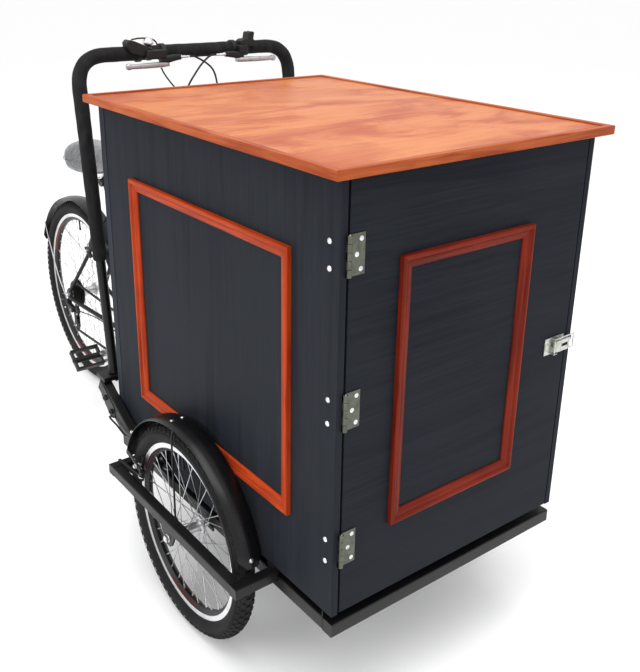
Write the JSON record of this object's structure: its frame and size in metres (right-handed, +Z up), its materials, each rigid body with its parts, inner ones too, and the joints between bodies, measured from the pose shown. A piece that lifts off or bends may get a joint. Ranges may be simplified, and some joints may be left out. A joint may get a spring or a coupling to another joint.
{
  "type": "cargo bicycle",
  "caption": "Front-loading cargo tricycle with a tall black wooden box, orange lid, side-hung door, push bar and a rear bicycle half.",
  "frame": {"origin": "on the ground, at the middle of the whole tricycle's footprint", "axes": "+Z up, -Y forward (the door side of the box), +Y towards the rider's bicycle half, -X the rider's right (drive side)"},
  "size_m": [0.864, 2.204, 1.2975],
  "materials": {
    "black_wood": "black stained plywood, satin, faint grain",
    "lid_wood": "orange stained plywood, blotchy, satin varnish",
    "trim_wood": "red-orange stained pine moulding, satin varnish",
    "black_steel": "black powder coat, satin",
    "zinc_plate": "yellowish zinc plate",
    "alloy": "bare alloy",
    "tyre_rubber": "black knobbed tyre",
    "black_rim": "black rim with a machined silver brake track",
    "foam": "matt black closed-cell foam",
    "black_plastic": "moulded, fine texture",
    "saddle_cover": "grey imitation leather, slightly glossy",
    "chain_steel": "oiled dark steel",
    "cable_housing": "black cable housing"
  },
  "bodies": {
    "chassis": {"base_frame": "black_steel", "side_frame_right": "black_steel", "side_frame_left": "black_steel", "box_floor": "black_wood", "rear_panel": "black_wood", "side_panel_right": "black_wood", "side_panel_left": "black_wood", "lid_board": "lid_wood", "lid_edging": "trim_wood", "side_moulding_right": "trim_wood", "side_moulding_left": "trim_wood", "hinge_top_fixed": "zinc_plate", "hinge_middle_fixed": "zinc_plate", "hinge_bottom_fixed": "zinc_plate", "latch_keeper": "zinc_plate", "handlebar": "black_steel", "handlebar_sleeve": "foam", "control_right": "black_plastic", "control_left": "black_plastic", "mudguard_right": "black_steel", "mudguard_left": "black_steel", "brake_cable_right": "cable_housing", "brake_cable_left": "cable_housing", "gear_cable": "cable_housing"},
    "door": {"door_panel": "black_wood", "door_moulding": "trim_wood", "hinge_top_moving": "zinc_plate", "hinge_middle_moving": "zinc_plate", "hinge_bottom_moving": "zinc_plate", "latch_base": "zinc_plate"},
    "latch_lever": {"latch_lever": "zinc_plate"},
    "latch_bail": {"latch_bail": "alloy"},
    "brake_lever_right": {"brake_lever_right": "alloy"},
    "brake_lever_left": {"brake_lever_left": "alloy"},
    "wheel_right": {"tyre_right": "tyre_rubber", "rim_right": "black_rim", "hub_right": "alloy"},
    "wheel_left": {"tyre_left": "tyre_rubber", "rim_left": "black_rim", "hub_left": "alloy"},
    "rear": {"rear_frame": "black_steel", "rear_mudguard": "black_steel", "chain": "chain_steel", "derailleur": "black_plastic", "rear_gear_cable": "cable_housing"},
    "seat": {"seatpost": "black_steel", "saddle": "saddle_cover"},
    "rear_wheel": {"tyre_rear": "tyre_rubber", "rim_rear": "black_rim", "hub_rear": "alloy"},
    "cassette": {"cassette": "chain_steel"},
    "crank": {"crankset": "alloy"},
    "pedal_right": {"pedal_right": "black_plastic"},
    "pedal_left": {"pedal_left": "black_plastic"},
    "brake_arm_inner_right": {"brake_arm_inner_right": "alloy"},
    "brake_arm_inner_left": {"brake_arm_inner_left": "alloy"},
    "brake_arm_outer_right": {"brake_arm_outer_right": "alloy"},
    "brake_arm_outer_left": {"brake_arm_outer_left": "alloy"},
    "brake_arm_rear_right": {"brake_arm_rear_right": "alloy"},
    "brake_arm_rear_left": {"brake_arm_rear_left": "alloy"}
  },
  "joints": [
    {"name": "steering", "type": "hinge", "parent": "chassis", "child": "rear", "pos_m": [0, -0.095, 0.372], "axis": [0, 0, 1], "range_deg": [-35, 35]},
    {"name": "door_hinge", "type": "hinge", "parent": "chassis", "child": "door", "pos_m": [-0.3075, -1.0842, 0.7345], "axis": [0, 0, -1], "range_deg": [0, 160]},
    {"name": "latch_lever_turn", "type": "hinge", "parent": "door", "child": "latch_lever", "pos_m": [0.262, -1.0875, 0.722], "axis": [0, 0, -1], "range_deg": [0, 125]},
    {"name": "latch_bail_turn", "type": "hinge", "parent": "latch_lever", "child": "latch_bail", "pos_m": [0.2705, -1.0875, 0.722], "axis": [0, 0, -1], "range_deg": [0, 45]},
    {"name": "brake_lever_right_pull", "type": "hinge", "parent": "chassis", "child": "brake_lever_right", "pos_m": [-0.088, -0.07421, 1.2255], "axis": [0, 0, -1], "range_deg": [0, 20], "stiffness_Nm_per_rad": 0.3},
    {"name": "brake_lever_left_pull", "type": "hinge", "parent": "chassis", "child": "brake_lever_left", "pos_m": [0.135, -0.07421, 1.2255], "axis": [0, 0, 1], "range_deg": [0, 20], "stiffness_Nm_per_rad": 0.3},
    {"name": "wheel_right_spin", "type": "hinge", "parent": "chassis", "child": "wheel_right", "pos_m": [-0.367, -0.612, 0.253], "axis": [1, 0, 0], "continuous": true},
    {"name": "wheel_left_spin", "type": "hinge", "parent": "chassis", "child": "wheel_left", "pos_m": [0.367, -0.612, 0.253], "axis": [1, 0, 0], "continuous": true},
    {"name": "brake_arm_inner_right_turn", "type": "hinge", "parent": "chassis", "child": "brake_arm_inner_right", "pos_m": [-0.3335, -0.45387, 0.33145], "axis": [0, -0.3746, 0.9272], "range_deg": [0, 3]},
    {"name": "brake_arm_outer_right_turn", "type": "hinge", "parent": "chassis", "child": "brake_arm_outer_right", "pos_m": [-0.4005, -0.45387, 0.33145], "axis": [0, 0.3746, -0.9272], "range_deg": [0, 3]},
    {"name": "brake_arm_inner_left_turn", "type": "hinge", "parent": "chassis", "child": "brake_arm_inner_left", "pos_m": [0.3335, -0.45387, 0.33145], "axis": [0, 0.3746, -0.9272], "range_deg": [0, 3]},
    {"name": "brake_arm_outer_left_turn", "type": "hinge", "parent": "chassis", "child": "brake_arm_outer_left", "pos_m": [0.4005, -0.45387, 0.33145], "axis": [0, -0.3746, 0.9272], "range_deg": [0, 3]},
    {"name": "seat_height", "type": "slide", "parent": "rear", "child": "seat", "axis": [0, 0.3665, 0.9304], "range_m": [-0.055, 0.05]},
    {"name": "rear_wheel_spin", "type": "hinge", "parent": "rear", "child": "rear_wheel", "pos_m": [0, 0.77, 0.332], "axis": [1, 0, 0], "continuous": true},
    {"name": "crank_turn", "type": "hinge", "parent": "rear", "child": "crank", "pos_m": [0, 0.335, 0.285], "axis": [1, 0, 0], "continuous": true},
    {"name": "cassette_turn", "type": "hinge", "parent": "rear", "child": "cassette", "pos_m": [0, 0.77, 0.332], "axis": [1, 0, 0], "continuous": true},
    {"name": "pedal_right_spin", "type": "hinge", "parent": "crank", "child": "pedal_right", "pos_m": [-0.1368, 0.4851, 0.20519], "axis": [1, 0, 0], "continuous": true},
    {"name": "pedal_left_spin", "type": "hinge", "parent": "crank", "child": "pedal_left", "pos_m": [0.1368, 0.1849, 0.36481], "axis": [1, 0, 0], "continuous": true},
    {"name": "brake_arm_rear_right_turn", "type": "hinge", "parent": "rear", "child": "brake_arm_rear_right", "pos_m": [-0.0475, 0.62244, 0.53734], "axis": [0, 0.7798, 0.626], "range_deg": [0, 3]},
    {"name": "brake_arm_rear_left_turn", "type": "hinge", "parent": "rear", "child": "brake_arm_rear_left", "pos_m": [0.0475, 0.62244, 0.53734], "axis": [0, -0.7798, -0.626], "range_deg": [0, 3]}
  ],
  "couplings": [
    {"joint": "cassette_turn", "follows": "crank_turn", "ratio": 2},
    {"joint": "brake_arm_inner_right_turn", "follows": "brake_lever_right_pull", "ratio": 0.13},
    {"joint": "brake_arm_outer_right_turn", "follows": "brake_lever_right_pull", "ratio": 0.13},
    {"joint": "brake_arm_inner_left_turn", "follows": "brake_lever_left_pull", "ratio": 0.13},
    {"joint": "brake_arm_outer_left_turn", "follows": "brake_lever_left_pull", "ratio": 0.13},
    {"joint": "brake_arm_rear_right_turn", "follows": "brake_lever_right_pull", "ratio": 0.13},
    {"joint": "brake_arm_rear_left_turn", "follows": "brake_lever_right_pull", "ratio": 0.13}
  ]
}
